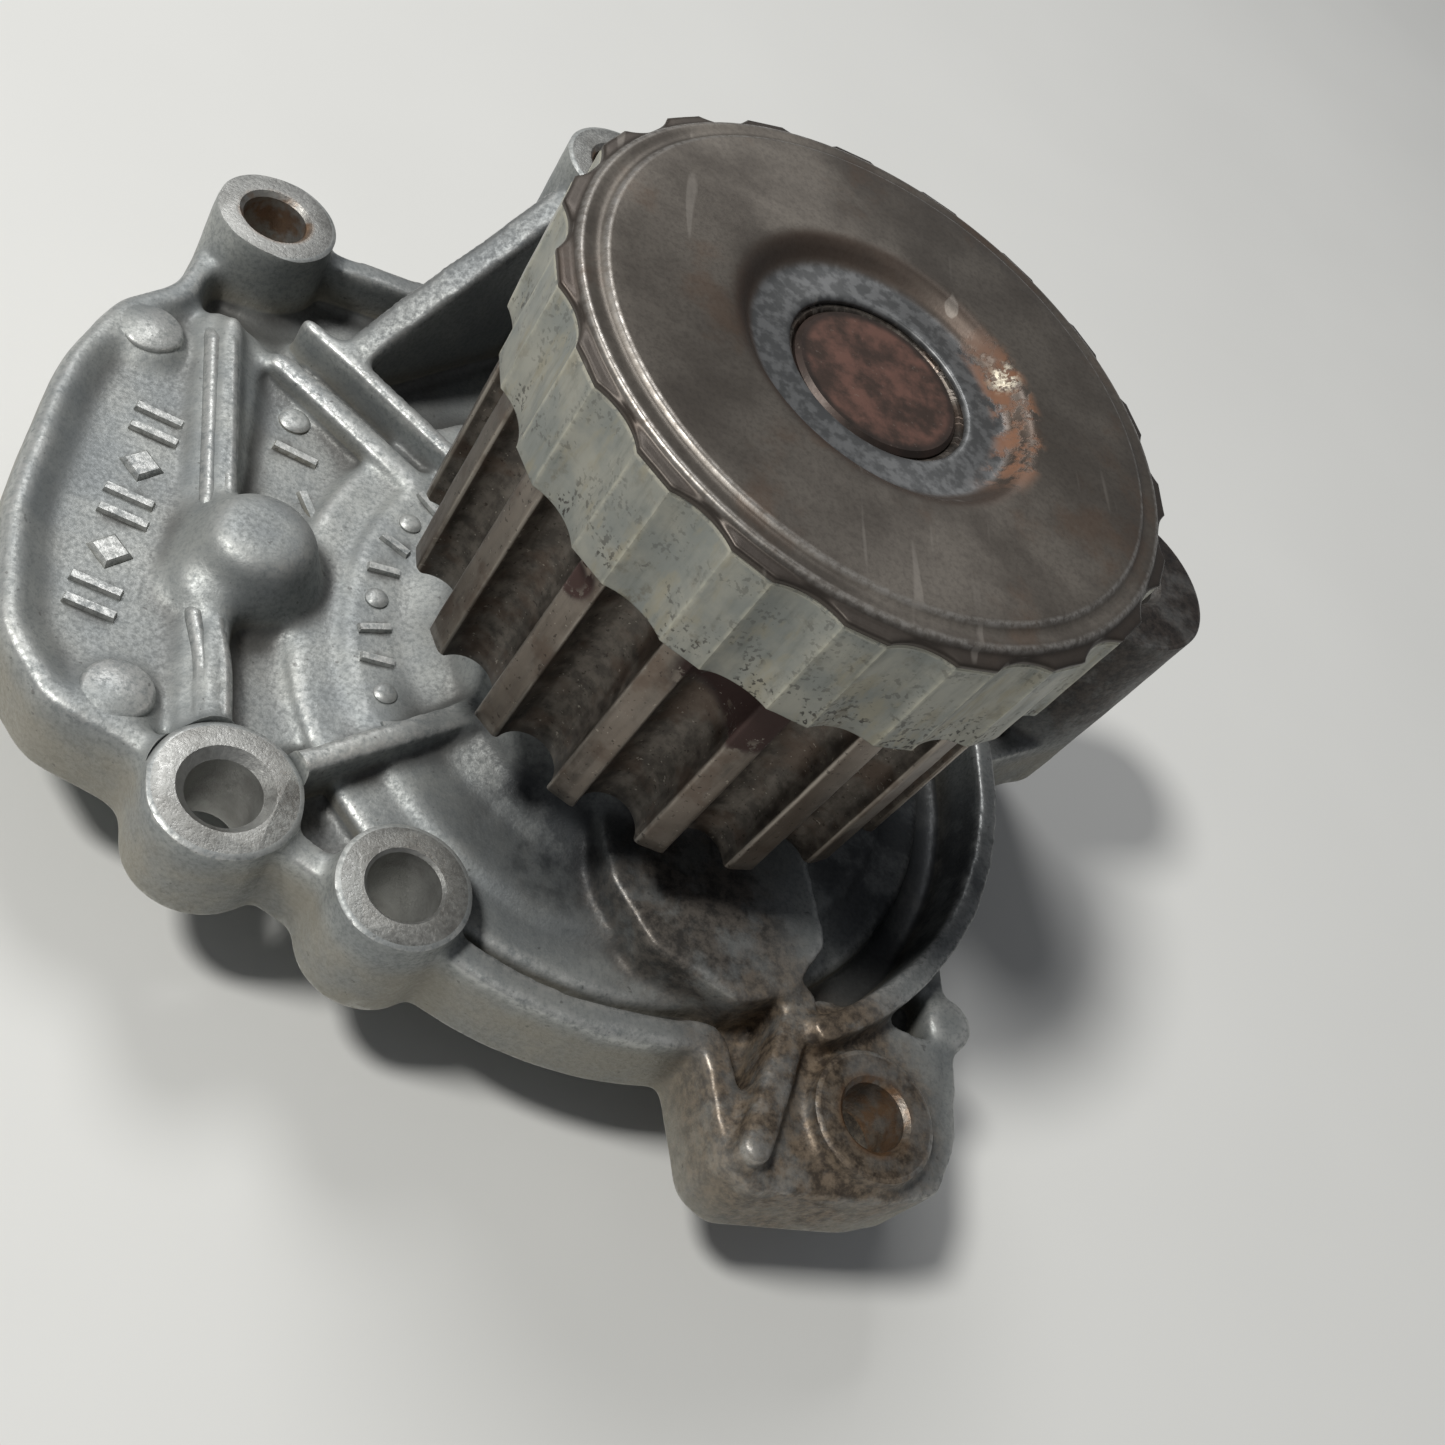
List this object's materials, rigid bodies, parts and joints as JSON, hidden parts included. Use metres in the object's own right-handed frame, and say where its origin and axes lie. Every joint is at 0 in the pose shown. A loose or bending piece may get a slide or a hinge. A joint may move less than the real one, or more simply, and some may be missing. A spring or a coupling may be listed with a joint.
{
  "type": "engine water pump",
  "caption": "Belt-driven engine water pump: die-cast body, toothed pulley with scalloped sleeve and dished cap, sealed shaft bearing, face seal and open-vane impeller.",
  "frame": {"origin": "where the shaft axis meets the machined face that bolts to the engine block", "axes": "+Z along the shaft towards the pulley's cap; the shallow pan of the body lies towards -X"},
  "size_m": [0.1266, 0.1092, 0.07],
  "materials": {
    "cast_aluminium": "as-cast, fine grain, machined boss tops, stained",
    "pulley_steel": "dark oiled sintered steel, polished on the tooth lands",
    "sleeve_zinc": "dull grey-green with dark specks",
    "cap_steel": "brownish pressed steel with rust tints",
    "shaft_steel": "ground steel, rusted on the end face",
    "bearing_steel": "ground and polished",
    "cage_plastic": "natural nylon",
    "black_rubber": "moulded",
    "stamped_steel": "stamped sheet",
    "seal_brass": "pressed brass",
    "spring_steel": "drawn wire",
    "seal_carbon": "carbon graphite, lapped face",
    "seal_ceramic": "ceramic, lapped face",
    "impeller_iron": "machined",
    "green_rubber": "moulded"
  },
  "bodies": {
    "housing": {"pump_housing": "cast_aluminium", "bearing_outer_ring": "bearing_steel", "rear_bearing_seal": "black_rubber", "front_bearing_seal": "black_rubber", "seal_cup": "seal_brass", "seal_bellows": "black_rubber", "seal_spring": "spring_steel", "seal_carbon_ring": "seal_carbon", "perimeter_seal": "green_rubber"},
    "rotor": {"toothed_pulley": "pulley_steel", "pulley_sleeve": "sleeve_zinc", "front_cap": "cap_steel", "shaft": "shaft_steel", "slinger": "stamped_steel", "seal_mating_ring": "seal_ceramic", "mating_ring_boot": "black_rubber", "impeller_hub": "impeller_iron", "impeller": "stamped_steel"},
    "rear_ball_set": {"rear_bearing_balls": "bearing_steel", "rear_bearing_cage": "cage_plastic"},
    "front_ball_set": {"front_bearing_balls": "bearing_steel", "front_bearing_cage": "cage_plastic"}
  },
  "joints": [
    {"name": "rotor_spin", "type": "hinge", "parent": "housing", "child": "rotor", "pos_m": [0, 0, 0], "axis": [0, 0, 1], "continuous": true},
    {"name": "rear_ball_spin", "type": "hinge", "parent": "housing", "child": "rear_ball_set", "pos_m": [0, 0, 0.0245], "axis": [0, 0, 1], "continuous": true},
    {"name": "front_ball_spin", "type": "hinge", "parent": "housing", "child": "front_ball_set", "pos_m": [0, 0, 0.0415], "axis": [0, 0, 1], "continuous": true}
  ],
  "couplings": [
    {"joint": "rear_ball_spin", "follows": "rotor_spin", "ratio": 0.3585},
    {"joint": "front_ball_spin", "follows": "rotor_spin", "ratio": 0.3585}
  ]
}
